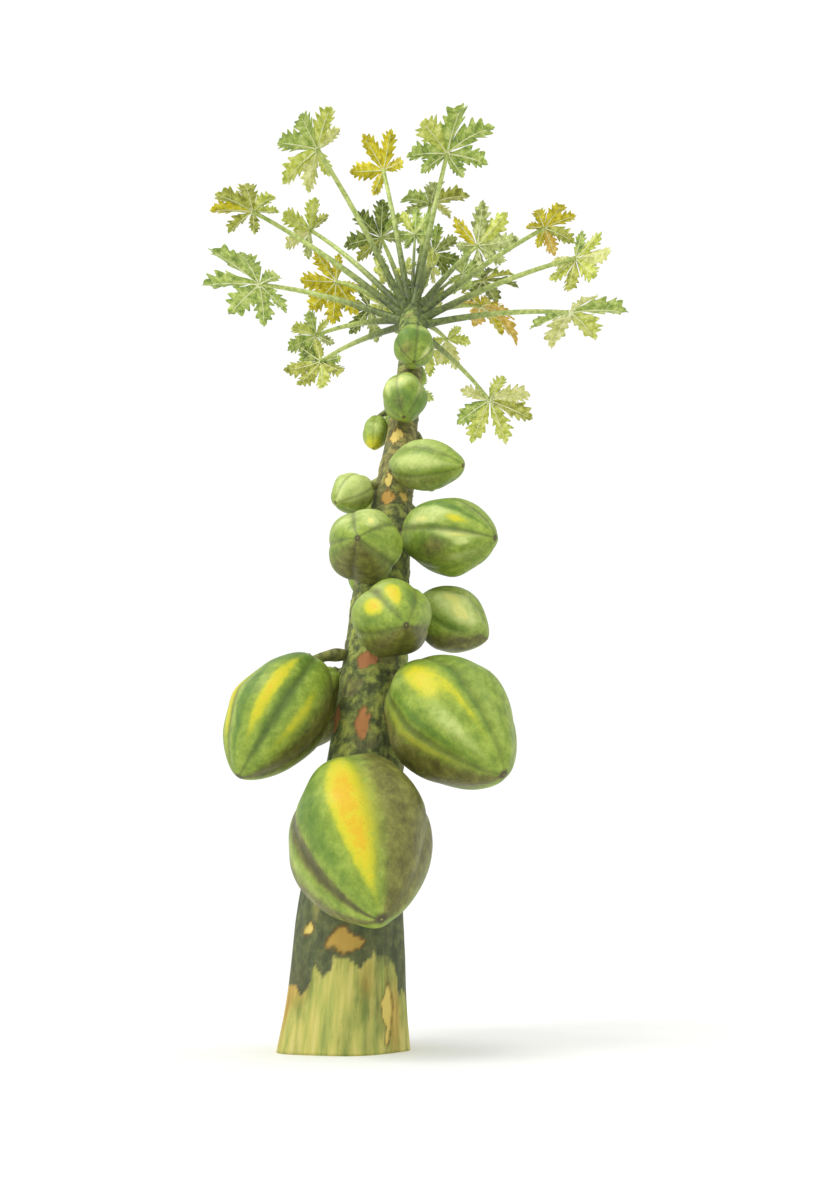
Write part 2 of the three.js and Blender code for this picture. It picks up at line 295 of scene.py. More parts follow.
def new_material(name, roughness, colour, relief, relief_mm, **sockets):
    """A material from the functions that make its colour and its relief, and shader settings."""
    material = bpy.data.materials.new(name)
    material.use_nodes = True
    tree = material.node_tree
    shader = tree.nodes["Principled BSDF"]
    shader.inputs["Roughness"].default_value = roughness
    for socket, value in sockets.items():
        shader.inputs[socket.replace("_", " ")].default_value = value
    tree.links.new(colour(tree), shader.inputs["Base Color"])
    bump = add(tree, "Bump", Strength=1.0, Distance=relief_mm * MM, Height=relief(tree))
    tree.links.new(bump, shader.inputs["Normal"])
    print(f"{name}: {len(tree.nodes)} nodes")
    return material


# %% [markdown]
# ## The bark
#
# Papaya bark is smooth and soft, since the stem is full of water and not of wood. What gives it
# character is where the old leaves stood. Each left a shield-shaped scar with a raised rim, and
# the scars climb in a spiral, each about 137.5 degrees round from the last. The foot has stretched
# as it thickened: its scars have almost gone, and long fibres show instead. The relief could come
# from a displacement modifier and a texture. Here each scar is worked out where it stands, because
# the colours must know its place as well.

# %% Marks on the bark
# Places where the skin has come off and the cork shows: height, bearing, width and height of the
# place in millimetres, and its tone, from 0 for red-brown to 1 for pale yellow.
BARE_PLACES = [
    [700, -96, 50, 54, 0.05],
    [570, -150, 34, 74, 0.15],
    [545, -92, 34, 66, 0.12],
    [760, 150, 44, 50, 0.2],
    [600, 60, 40, 56, 0.3],
    [1500, -105, 46, 70, 0.85],
    [1300, -102, 26, 60, 0.95],
    [1228, -97, 48, 56, 0.45],
    [1240, -52, 34, 40, 0.75],
    [1400, 80, 40, 56, 0.8],
    [1760, -120, 36, 46, 0.8],
    [165, -129, 22, 20, 0.95],
    [148, -88, 58, 40, 0.55],
    [58, -41, 26, 92, 0.95],
    [120, 40, 46, 40, 0.6],
    [150, 130, 34, 46, 0.8],
]

# Soft rusty stains on the foot, where sap has run: height, bearing, half width, half height and
# strength.
STAINS = [
    [96, -134, 26, 34, 0.5],
    [60, -154, 20, 60, 0.6],
    [96, -66, 16, 34, 0.4],
    [40, -30, 18, 60, 0.45],
    [60, 60, 30, 50, 0.7],
    [110, 150, 24, 50, 0.6],
]
print(len(BARE_PLACES), "bare places and", len(STAINS), "stains")

# %% The bark's grid, and smooth relief on it
STEM_SIDES, STEM_ROWS = 176, 540
LUMP_ROWS = 512
height = np.linspace(0, TIP, STEM_ROWS)[:, None] * np.ones((1, STEM_SIDES))
turn = np.arange(STEM_SIDES)[None, :] / STEM_SIDES * np.ones((STEM_ROWS, 1))
radius = trunk_at(height)[..., 2]


def lumps(around, tall, seed):
    """Smooth relief between -1 and 1: this many lumps to a turn, each tall millimetres high."""
    table = np.random.default_rng(seed).uniform(-1, 1, (around, LUMP_ROWS))
    x, y = turn * around, height / tall
    column, row = np.floor(x).astype(int), np.floor(y).astype(int)
    across, up = smooth(0, 1, x - column), smooth(0, 1, y - row)
    row, above = row % LUMP_ROWS, (row + 1) % LUMP_ROWS
    left, right = column % around, (column + 1) % around
    left = table[left, row] * (1 - up) + table[left, above] * up
    right = table[right, row] * (1 - up) + table[right, above] * up
    return left * (1 - across) + right * across


def from_place(at_height, bearing):
    """Distance along the bark from one place to every point of the stem: round it, and up it."""
    away = (turn * 360 - bearing + 180) % 360 - 180
    return np.radians(away) * radius, height - at_height


print(f"bark grid: {STEM_ROWS} rows of {STEM_SIDES} points")

# %% Fibres, scars, bare places and stains
# Heights and depths of the relief, in millimetres.
FIBRES, SWELLS = 0.55, 1.3
SCAR_RIM, SCAR_DIP, SCAR_LINE = 2.2, 1.2, 1.3
BARE_RIM, BARE_DIP = 1.4, 1.6
FLARE, FLARE_TOP, FLARE_LOBES = 5, 260, 5
SCAR_STEP, SCAR_START, SCAR_END = 25.0, 330.0, 2250.0
GOLDEN_ANGLE = 137.5

fibres = lumps(88, 150, 1) + 0.6 * lumps(176, 60, 2)
swells = lumps(7, 170, 3) + 0.5 * lumps(15, 70, 4)
age = 1 - smooth(300, 1500, height)
relief = FIBRES * fibres * (0.5 + age) + SWELLS * swells
flare = FLARE * np.clip(1 - height / FLARE_TOP, 0, 1) ** 2 * np.cos(FLARE_LOBES * turn * 2 * math.pi)

scar, bare, tone, lip, stain = (np.zeros_like(height) for layer in range(5))
chance = np.random.default_rng(5)
scar_heights = np.arange(SCAR_START, SCAR_END, SCAR_STEP)
for number, at_height in enumerate(scar_heights):
    round_stem, up_stem = from_place(at_height, 25 + number * GOLDEN_ANGLE + chance.uniform(-8, 8))
    wide = 0.36 * float(trunk_at(at_height)[2]) + 4
    tall = wide * chance.uniform(0.62, 0.8)
    shield = np.hypot(round_stem / (wide * (1 + 0.28 * up_stem / tall)), up_stem / tall)
    shield += 0.06 * lumps(60, 12, 6)
    strength = 0.45 + 0.55 * smooth(300, 800, at_height)
    rim = SCAR_RIM * bell((shield - 1) / 0.16)
    relief += strength * (rim - SCAR_DIP * (1 - smooth(0.7, 1.0, shield)))
    scar = np.maximum(scar, strength * (1 - smooth(0.82, 1.02, shield)))
    relief -= strength * SCAR_LINE * bell((up_stem + tall * 1.15) / 2.5) * bell(round_stem / wide)
for at_height, bearing, wide, tall, place_tone in BARE_PLACES:
    round_stem, up_stem = from_place(at_height, bearing)
    edge = (np.abs(round_stem) * 2 / wide) ** 1.5 + (np.abs(up_stem) * 2 / tall) ** 1.5
    edge += 0.45 * lumps(40, 16, 7) + 0.2 * lumps(88, 7, 8)
    inside = 1 - smooth(0.85, 1.0, edge)
    rim = bell((edge - 1.02) / 0.14)
    relief += BARE_RIM * rim - BARE_DIP * inside
    lip = np.maximum(lip, rim)
    bare = np.maximum(bare, inside)
    tone = np.where(inside > 0.01, place_tone, tone)
for at_height, bearing, wide, tall, strength in STAINS:
    round_stem, up_stem = from_place(at_height, bearing)
    stain += strength * bell(round_stem / wide) * bell(up_stem / tall)
print(f"{len(scar_heights)} leaf scars, relief {relief.min():.1f} to {relief.max():.1f} mm")

# %% [markdown]
# ## The bark's colours
#
# The colours go by age. The foot is straw-coloured, with green washes, rusty stains and streaks along
# the fibres. Above it, under the lowest fruit, a dark blue-green band with a ragged edge runs round the
# stem, and patches of the same colour are scattered higher up.
# The middle is olive, the upper stem a warmer brown-green, and the young end under the leaves a clear
# green. Where the relief dips, shade is painted into the bark as a dark olive. The mesh carries a value
# for each mark, so that colour and relief agree. Papaya bark is soft and matte, with a roughness of 0.8.
# Its grain is drawn at 4 mm, coarser than it is, so that it shows.

# %% Papaya bark
BARK_TONES = {
    "foot": [(0.3, "#84934a"), (0.42, "#a9ac56"), (0.56, "#c3ba63"), (0.7, "#cdc27a")],
    "wash": [(0.35, "#74833c"), (0.6, "#a3a351")],
    "rust": [(0.35, "#a5843a"), (0.6, "#c2a34e")],
    "old_scar": [(0.35, "#6d6a3c"), (0.65, "#958d55")],
    "middle": [(0.05, "#424c24"), (0.35, "#5b6530"), (0.6, "#747d38"), (0.95, "#98a047")],
    "top": [(0.0, "#4d4c26"), (0.45, "#706b35"), (0.9, "#97904a")],
    "young": [(0.0, "#39461f"), (0.45, "#5c6e31"), (0.9, "#92a04a")],
    # A dark blue-green for the band under the lowest fruit and for the patches above it.
    "dark_patch_green": [(0.34, "#37402c"), (0.5, "#4b5436"), (0.66, "#686d42")],
    "cork": [(0.0, "#a4683f"), (0.45, "#b38a3c"), (0.9, "#d6c064")],
}
BARK_MARKS = ("scar", "bare", "tone", "bloom", "hollow", "lip")


def bark_colour(tree):
    streaks = clouds(tree, 13, detail=6, stretch=(1, 1, 9))
    patches = clouds(tree, 46, detail=6)
    blots = clouds(tree, 26, detail=8, rough=0.68)
    blots = add(tree, "MapRange", SOFT_ENDS, Value=blots, From_Min=0.34, From_Max=0.66)
    mark = {name: add(tree, "Attribute", {"attribute_name": name}, out="Fac") for name in BARK_MARKS}
    pattern = {"dark_patch_green": clouds(tree, 18, detail=7, rough=0.7), "cork": mark["tone"]}
    pattern |= dict.fromkeys(("foot", "wash", "rust", "old_scar"), streaks)
    pattern |= dict.fromkeys(("middle", "top", "young"), blots)
    colour = {
        name: add(tree, "ValToRGB", {"stops": stops}, Fac=pattern[name])
        for name, stops in BARK_TONES.items()
    }
    metres_up = add(tree, "SeparateXYZ", out="Z", Vector=add(tree, "TexCoord", out="Object"))
    age = add(tree, "Math", {"operation": "MULTIPLY_ADD"}, _0=patches, _1=0.5, _2=metres_up)
    return layered(
        tree,
        colour["foot"],
        (clouds(tree, 50, detail=6, stretch=(1, 1, 2)), 0.48, 0.62, colour["wash"]),
        (ragged(tree, "stain", patches), colour["rust"]),
        (age, 0.5, 0.62, colour["middle"]),
        (age, 1.3, 1.7, colour["top"]),
        (age, 2.0, 2.35, colour["young"]),
        # The dark blue-green band under the lowest fruit, and its patches higher up.
        (mark["bloom"], colour["dark_patch_green"]),
        (mark["scar"], colour["old_scar"]),
        (mark["bare"], colour["cork"]),
        (mark["lip"], "#6a5426"),
        # Painted shade: the bark is darker where its relief dips.
        (mark["hollow"], "#353a24"),
    )


def bark_relief(tree):
    return clouds(tree, 4, detail=6, stretch=(1, 1, 5), rough=0.7)


papaya_bark = new_material("papaya_bark", 0.8, bark_colour, bark_relief, 1.0)

# %% The stem
# A dark blue-green band with a ragged edge runs round the stem from about 100 to 400 mm up, under the
# lowest fruit, and patches of it are scattered higher up.
dark_patch_edge = lumps(9, 90, 12) * 30 + lumps(34, 46, 13) * 30
dark_patch_edge += lumps(80, 16, 15) * 14
bloom = smooth(94, 100, height + dark_patch_edge) * (1 - smooth(330, 420, height + dark_patch_edge))
patch_lumps = lumps(8, 90, 14) + 0.5 * lumps(24, 30, 16)
bloom *= 0.95 - 0.35 * smooth(0.5, 0.7, patch_lumps)
bloom = np.maximum(bloom, 0.6 * smooth(0.5, 0.62, patch_lumps) * (height > 400))
# Painted shade in the hollows: the deeper the relief dips, the darker the bark, except in bare places.
hollow = 0.8 * smooth(0.6, 2.4, -relief) * (1 - bare)
centre = trunk_at(height)
girth = centre[..., 2] + flare + relief * np.clip((TIP - height) / 120, 0, 1)
stem_grid = np.stack([
    centre[..., 0] + girth * np.cos(turn * 2 * math.pi),
    centre[..., 1] + girth * np.sin(turn * 2 * math.pi),
    height,
], -1)
points, faces = capped_tube(stem_grid)


def with_caps(layer):
    """A grid's values, and those of the middle points of its two end caps."""
    return np.append(layer.ravel(), [layer[0].mean(), layer[-1].mean()])


marks = {"scar": scar * 0.55, "bare": bare, "tone": tone, "bloom": bloom, "hollow": hollow}
marks |= {"lip": lip * 0.75, "stain": np.clip(stain, 0, 1)}
stem = make_piece("stem", points, faces, papaya_bark, {name: with_caps(v) for name, v in marks.items()})
settle(stem, "bark", "trunk")

# %% [markdown]
# ## The fruit
#
# Papayas hang straight from the stem on short stalks, the oldest and largest lowest. Each is a
# pear or spindle shape with five shallow furrows that run from the stalk to a small dark scar at
# the blossom end. It could be a sphere pulled into shape with proportional editing. A formula
# gives the same profile to all of them, and knows where each furrow runs.
#
# Each row gives the height of the fruit's stem end, its bearing round the stem, how far it leans
# out from hanging straight, how that lean turns, its distance from the bark, its length and width,
# and the turn of one furrow. Turns go round the fruit from its outer side, away from the stem.

# %% Where the fruit hang
FRUITS = [
    [420, -97, 36, 34, 54, 320, 240, 92],
    [700, 208, 23, 0, 70, 310, 214, -84],
    [645, -46, 41, 6, 44, 344, 248, 110],
    [810, -82, 52, 14, 24, 222, 176, 52],
    [910, 3, 62, 3, 16, 212, 178, 64],
    [1090, -42, 62, 8, 14, 290, 204, 38],
    [1000, -106, 60, 12, 16, 214, 182, 16],
    [1290, 211, 38, 0, 27, 150, 117, -54],
    [1335, -92, 57, 57, 22, 278, 142, 82],
    [1690, 161, 4, 0, 52, 154, 92, -36],
    [1675, -89, 0, 0, 76, 185, 142, 20],
    [1955, -82, 0, 0, 76, 174, 142, -2],
    [500, 92, 32, 0, 44, 284, 200, 30],
    [720, 42, 45, 0, 28, 270, 190, 10],
    [740, 144, 50, 0, 26, 250, 180, -25],
    [960, 96, 22, 0, 60, 250, 178, 5],
    [1230, 112, 20, 0, 58, 226, 158, 20],
    [1280, 38, 55, 0, 16, 214, 152, -10],
    [1470, 118, 12, 0, 65, 200, 140, 32],
    [1600, 48, 12, 0, 54, 188, 132, 0],
    [1830, 108, 10, 0, 54, 165, 116, 15],
    [2090, 84, 10, 0, 42, 140, 98, -15],
]
UP = np.array([0.0, 0.0, 1.0])
print(len(FRUITS), "fruit, the longest", max(row[5] for row in FRUITS), "mm long")


# %% A fruit's frame and profile
def fruit_frame(height, bearing, lean, turn, out):
    """The fruit's stem end, its axis, the direction of its outer side and the one beyond it."""
    x, y, radius = trunk_at(height)
    stem_end = np.array([x, y, height]) + aim(bearing, 0) * (radius + out)
    axis = aim(bearing + turn, lean - 90)
    outward = UP + aim(bearing + turn, 0)
    outer = unit(outward - axis * (outward @ axis))
    return stem_end, axis, outer, np.cross(axis, outer)


def profile(share):
    """Half width along the fruit, from 0 at the stalk through 1 at its belly to 0 at the tip."""
    along = 2 * np.asarray(share, float) ** 1.1 - 1
    rounded = np.sqrt(np.clip(1 - along**2, 0, 1))
    pointed = 1 - np.abs(along) ** 1.4
    return np.where(along < 0, rounded, 0.5 * rounded + 0.5 * pointed)


# %% [markdown]
# ## How the fruit ripen
#
# Ripening starts as yellow stripes between the furrows and spreads. The underside and the side away from
# the light are painted olive, as shade. Young skin is paler, some pale places are painted highlights,
# and the green beside a furrow is deeper. Every fruit therefore has a few soft oval spots of five kinds:
# ripe, painted shade, pale, deep, and painted shade in a furrow. A spot has a turn, a place along the
# fruit, two half widths and a strength; one that is 400 degrees wide goes all the way round. A fruit
# with no furrow shade listed has it evenly in every furrow.
# Painting each fruit by hand would do this too, but a spot is a row that can be moved. Fruit at
# the back ripen by the same rule, by chance.

# %% Ripe, pale and deep places, and painted shade
ROUND = 400
LOOKS = {
    1: {
        "ripe": [
            (37, 0.54, 12, 0.26, 1.0), (38, 0.2, 14, 0.2, 0.12), (33, 0.8, 14, 0.16, 0.6),
            (14, 0.56, 18, 0.34, 0.34),
        ],
        "shaded": [
            (-42, 0.5, 46, 0.9, 1.0), (-22, 0.45, 27, 0.7, 0.6), (91, 0.64, 8, 0.5, 1.0),
            (134, 0.7, 18, 0.5, 1.0),
        ],
        "pale": [(110, 0.6, 8, 0.3, 0.28)],
        "deep": [(68, 0.5, 13, 0.5, 0.7)],
        "crease": [(92, 0.6, 16, 0.6, 1.0)],
    },
    2: {
        "ripe": [(-63, 0.52, 9, 0.34, 0.8), (-2, 0.6, 14, 0.34, 0.6), (-108, 0.6, 9, 0.3, 0.5)],
        "shaded": [(-146, 0.6, 27, 0.7, 0.8), (44, 0.6, 22, 0.8, 0.8)],
        "deep": [(-38, 0.6, 8, 0.4, 0.75), (-84, 0.6, 8, 0.4, 0.8), (-60, 0.16, 40, 0.12, 0.7)],
        "crease": [(-84, 0.5, 16, 0.5, 0.7), (-12, 0.5, 16, 0.5, 0.8)],
    },
    3: {
        "ripe": [(70, 0.44, 14, 0.22, 0.7), (54, 0.72, 7, 0.26, 0.4), (118, 0.6, 7, 0.4, 0.46)],
        "shaded": [(150, 0.55, 29, 0.9, 1.0)],
        "pale": [(80, 0.76, 11, 0.18, 0.45), (26, 0.7, 12, 0.3, 0.24)],
        "deep": [(99, 0.6, 5, 0.4, 0.6), (43, 0.6, 4, 0.4, 0.5), (20, 0.4, 24, 0.4, 0.35)],
        "crease": [(110, 0.5, 16, 0.6, 0.9), (38, 0.5, 16, 0.6, 0.4)],
    },
    4: {
        "ripe": [(72, 0.76, 17, 0.1, 0.95), (27, 0.79, 15, 0.12, 0.9)],
        "shaded": [(200, 0.8, 66, 0.7, 1.0), (204, 0.9, 60, 0.3, 0.4), (48, 0.66, 8, 0.1, 0.4)],
        "pale": [(50, 0.62, 50, 0.14, 0.4)],
        "deep": [(-14, 0.8, 20, 0.12, 0.5), (100, 0.75, 12, 0.2, 0.4)],
        "crease": [(0, 0.7, ROUND, 1, 0.5)],
    },
    5: {
        "ripe": [(95, 0.52, 26, 0.26, 0.2)],
        "shaded": [(184, 0.45, 20, 0.4, 1.0), (166, 0.72, 22, 0.2, 1.0), (142, 0.95, 26, 0.1, 1.0)],
        "pale": [(88, 0.48, 42, 0.4, 0.5), (84, 0.42, 13, 0.14, 0.6), (105, 0.62, 13, 0.15, 0.8)],
        "deep": [(132, 0.5, 12, 0.3, 0.5)],
        "crease": [(0, 0.7, ROUND, 1, 0.2)],
    },
    6: {
        "ripe": [(88, 0.75, 9, 0.11, 0.6), (118, 0.8, 7, 0.12, 0.35)],
        "shaded": [(160, 0.5, 26, 0.8, 0.3), (134, 0.6, 14, 0.12, 0.5)],
        # The long narrow pale streaks are painted highlights, cream where strongest.
        "pale": [
            (98, 0.44, 8, 0.16, 1.0), (117, 0.77, 8, 0.15, 1.0), (84, 0.6, 10, 0.3, 0.5),
            (132, 0.82, 6, 0.06, 0.8), (160, 0.78, 9, 0.12, 0.5),
        ],
        "deep": [
            (70, 0.6, 5, 0.42, 0.8), (54, 0.4, 16, 0.4, 0.4), (106, 0.7, 3, 0.3, 0.6),
            (134, 0.56, 17, 0.16, 0.7),
        ],
        "crease": [(38, 0.5, 16, 1, 0.4), (110, 0.5, 16, 1, 0.4), (0, 0.6, ROUND, 1, 0.3)],
    },
    7: {
        "shaded": [(172, 0.8, 64, 0.5, 0.8)],
        # Painted light: the upper side is pale, with a small painted highlight near the tip.
        "pale": [(-12, 0.72, 44, 0.18, 0.5), (-32, 0.86, 14, 0.05, 1.0), (40, 0.8, 20, 0.1, 0.4)],
        "deep": [(110, 0.8, 20, 0.2, 0.4)],
        "crease": [(0, 0.7, ROUND, 1, 0.7)],
    },
    8: {
        "shaded": [(-150, 0.6, 26, 0.5, 0.4)],
        "pale": [(-86, 0.6, 70, 0.6, 0.72)],
    },
    9: {
        "shaded": [(170, 0.5, 24, 0.7, 0.4)],
        "pale": [(120, 0.6, 18, 0.34, 0.75), (62, 0.5, 20, 0.4, 0.4), (174, 0.6, 24, 0.6, 0.3)],
        "deep": [(91, 0.6, 4, 0.4, 0.5)],
    },
    10: {
        "ripe": [(0, 1.0, ROUND, 0.27, 0.6)],
        "pale": [(-118, 0.62, 60, 0.3, 0.35)],
        "crease": [],
    },
    11: {
        "shaded": [(20, 0.86, 40, 0.12, 0.4)],
        # The pale spots are painted highlights.
        "pale": [(10, 0.5, 26, 0.14, 0.95), (48, 0.56, 9, 0.2, 0.8), (-50, 0.6, 10, 0.2, 0.7)],
        # The deep green round the lower end is painted shade.
        "deep": [(10, 0.84, 60, 0.14, 0.7), (-80, 0.75, 26, 0.3, 0.6), (0, 0.5, ROUND, 0.5, 0.15)],
    },
    12: {
        "shaded": [(50, 0.84, 44, 0.14, 0.5)],
        "pale": [(-62, 0.84, 16, 0.12, 0.9), (-10, 0.5, 30, 0.1, 0.6)],
        "deep": [(30, 0.62, 60, 0.14, 0.6), (0, 0.5, ROUND, 0.6, 0.2)],
        "crease": [(0, 0.5, ROUND, 1, 0.7)],
    },
}
EVEN = {"ripe": [], "shaded": [], "pale": [], "deep": [], "crease": [(0, 0.5, ROUND, 1, 0.5)]}
print("fruit with spots of their own:", len(LOOKS))


# %% Spots by chance, and what they add up to
def chance_look(number, size):
    """A fruit at the back: the larger it is, the riper its outer side."""
    rng = np.random.default_rng(200 + number)
    ripeness = smooth(150, 300, size)
    stripes = [
        (36 * side + rng.uniform(-9, 9), 0.5, 10, 0.35, ripeness * rng.uniform(0.4, 1))
        for side in (-1, 1)
    ]
    return {
        "ripe": stripes,
        # Painted shade: olive on the side towards the stem.
        "shaded": [(180, 0.5, 50, 0.7, 0.8)],
        "pale": [(rng.uniform(-30, 30), 0.4, 26, 0.3, 0.6)],
        "deep": [(rng.uniform(60, 100), 0.5, 12, 0.4, 0.7), (-80, 0.5, 12, 0.4, 0.7)],
    }


def spots(turn, share, places):
    """How strongly each point lies in any of these soft oval places."""
    total = np.zeros_like(turn)
    for centre, place, wide, tall, strength in places:
        away = (turn - centre + 180) % 360 - 180
        total += strength * bell(away / wide) * bell((share - place) / tall)
    return np.clip(total, 0, 1)


# %% [markdown]
# ## Papaya skin
#
# The skin is a thin waxy rind. The wax gives a soft satin sheen, with a roughness of 0.5 and a faint
# coat, and dried latex leaves freckles, drawn 3 to 4 mm apart so that they show. The colours are laid
# like glazes: green, then pale and deep places, then yellow, with cream painted as highlights where a
# pale place is strongest, then olive painted as shade, and a dark line painted as shade in each furrow.

# %% Papaya skin
SKIN_TONES = {
    "unripe": [(0.32, "#667f26"), (0.5, "#849b34"), (0.68, "#a2b54a")],
    "pale": [(0.35, "#a9bc60"), (0.65, "#c8d381")],
    "deep": [(0.33, "#4d7020"), (0.66, "#728e30")],
    "olive": [(0.34, "#504f24"), (0.5, "#6a6a2e"), (0.66, "#84873e")],
    "yellow": [(0.1, "#9dac2c"), (0.5, "#c4c022"), (0.8, "#d0bf1e"), (1.0, "#d5ad18")],
}
SKIN_MARKS = ("pale", "crease", "scarred")
FRECKLE_MM, FRECKLE_STRENGTH = 3.4, 0.3


def skin_colour(tree):
    mottle = clouds(tree, 22, detail=8, rough=0.72)
    flecks = clouds(tree, 16, detail=8, rough=0.75)
    ripeness = ragged(tree, "ripe", flecks, 0.0, 1.1)
    pattern = dict.fromkeys(SKIN_TONES, mottle) | {"yellow": ripeness}
    colour = {
        name: add(tree, "ValToRGB", {"stops": stops}, Fac=pattern[name])
        for name, stops in SKIN_TONES.items()
    }
    mark = {name: add(tree, "Attribute", {"attribute_name": name}, out="Fac") for name in SKIN_MARKS}
    dots = clouds(tree, FRECKLE_MM, detail=2)
    dots = add(tree, "MapRange", SOFT_ENDS, Value=dots, From_Min=0.62, From_Max=0.72)
    freckles = add(tree, "Math", {"operation": "MULTIPLY"}, _0=dots, _1=FRECKLE_STRENGTH)
    return layered(
        tree,
        colour["unripe"],
        (ragged(tree, "pale", flecks), colour["pale"]),
        (ragged(tree, "deep", flecks), colour["deep"]),
        (ripeness, 0.0, 0.42, colour["yellow"]),
        # Cream where a pale place is strongest: painted highlight streaks.
        (mark["pale"], 0.66, 1.15, "#e2de80"),
        # Painted shade: olive on the underside and on the side away from the light.
        (ragged(tree, "shaded", flecks), colour["olive"]),
        # Painted shade: a dark line along each furrow.
        (mark["crease"], "#3c3f1e"),
        (freckles, "#59602a"),
        (mark["scarred"], "#4a4128"),
    )


def skin_relief(tree):
    return clouds(tree, 6, detail=7, rough=0.65)


papaya_skin = new_material("papaya_skin", 0.5, skin_colour, skin_relief, 0.9, Coat_Weight=0.05, IOR=1.4)

# %% The fruit
FRUIT_SIDES, FRUIT_ROWS = 100, 66
FURROWS = 5
FURROW_STEP = 360 // FURROWS
RIDGE_DEPTH, FURROW_DEPTH, DIMPLE_DEPTH = 0.06, 0.035, 0.035
WAVES, WAVE_HEIGHT = 4, 0.009


def grow_fruit(number, row):
    """One fruit: ridged, a little uneven, dimpled at its stalk and coloured by its spots."""
    height, bearing, lean, lean_turn, out, length, width, furrow_turn = row
    stem_end, axis, outer, beyond = fruit_frame(height, bearing, lean, lean_turn, out)
    step = np.linspace(0, 1, FRUIT_ROWS)[:, None]
    share = (1 - np.cos(math.pi * (0.012 + 0.976 * step))) / 2 * np.ones((1, FRUIT_SIDES))
    turn = np.linspace(0, 360, FRUIT_SIDES, endpoint=False)[None, :] * np.ones((FRUIT_ROWS, 1))
    away = (turn - furrow_turn + FURROW_STEP / 2) % FURROW_STEP - FURROW_STEP / 2
    middle = np.sin(math.pi * share) ** 0.5
    groove = np.exp(-np.abs(away / (4.5 + 9 * (1 - middle))) ** 1.5)
    ridge = 0.5 + 0.5 * np.cos(np.radians(away) * FURROWS)
    half = width / 2 * profile(share) * (1.005 - RIDGE_DEPTH * ridge - FURROW_DEPTH * groove)
    rng = np.random.default_rng(300 + number)
    for wave, phase in enumerate(rng.uniform(0, 2 * math.pi, WAVES), 1):
        half *= 1 + WAVE_HEIGHT * np.sin(np.radians(turn) * wave + 5 * share * wave + phase)
    dimple = DIMPLE_DEPTH * length * bell(half / (0.13 * width)) * (share < 0.4)
    along = share * length + dimple
    angle = np.radians(turn)[..., None]
    round_axis = outer * np.cos(angle) + beyond * np.sin(angle)
    points, faces = capped_tube(stem_end + axis * along[..., None] + half[..., None] * round_axis)
    look = EVEN | (LOOKS.get(number) or chance_look(number, length))
    layers = {kind: spots(turn, share, places) for kind, places in look.items()}
    # Every furrow is painted a little darker as shade, and darker still where a fruit's spots say so.
    layers["crease"] = (0.14 + 0.72 * layers["crease"]) * groove**1.3 * smooth(0.02, 0.12, share)
    layers["scarred"] = np.maximum(smooth(0.992, 0.9985, share), 0.6 * smooth(0.03, 0.0, share))
    layers = {name: with_caps(values) for name, values in layers.items()}
    fruit = make_piece(f"fruit_{number:02d}_ripening", points, faces, papaya_skin, layers)
    settle(fruit, "fruit", f"fruit_{number:02d}")


for number, row in enumerate(FRUITS, 1):
    grow_fruit(number, row)

# %% [markdown]
# ## Stalks and blossom scars
#
# A short, tough stalk carries each fruit. It leaves the bark a little above the fruit, bends down
# and swells where it meets the shoulder, under five small dry sepals. The blossom end keeps a
# hard little knob. These are many small tubes of one finish, so they are joined into one piece.

# %% Thin sheets and bent lines
def closed_sheet(upper, lower):
    """Points and faces of a thin closed skin between two grids of the same size."""
    rows, columns = upper.shape[:2]
    index = np.arange(rows * columns).reshape(rows, columns)
    under = rows * columns
    top = np.stack([index[:-1, :-1], index[1:, :-1], index[1:, 1:], index[:-1, 1:]], -1).reshape(-1, 4)
    rim = np.concatenate([index[0, :-1], index[:-1, -1], index[-1, :0:-1], index[:0:-1, 0]])
    after = np.roll(rim, -1)
    wall = np.stack([rim, after, after + under, rim + under], -1)
    faces = np.concatenate([top, top[:, ::-1] + under, wall]).tolist()
    return np.concatenate([upper.reshape(-1, 3), lower.reshape(-1, 3)]), faces


def bent_line(start, bend, end, steps):
    """A quadratic curve from start to end that bends towards a third point."""
    t = np.linspace(0, 1, steps)[:, None]
    return (1 - t) ** 2 * start + 2 * t * (1 - t) * bend + t**2 * end


# %% Green stalk
# A green stalk is a tough, dry skin: nearly matte, with a roughness of 0.7 and a grain of 3 mm.
def stalk_colour(tree):
    streaks = clouds(tree, 12, detail=5, stretch=(1, 1, 2))
    return add(tree, "ValToRGB", {"stops": [(0.35, "#4f5329"), (0.65, "#8a8d46")]}, Fac=streaks)


def stalk_relief(tree):
    return clouds(tree, 3, detail=4)


green_stalk = new_material("green_stalk", 0.7, stalk_colour, stalk_relief, 0.6)

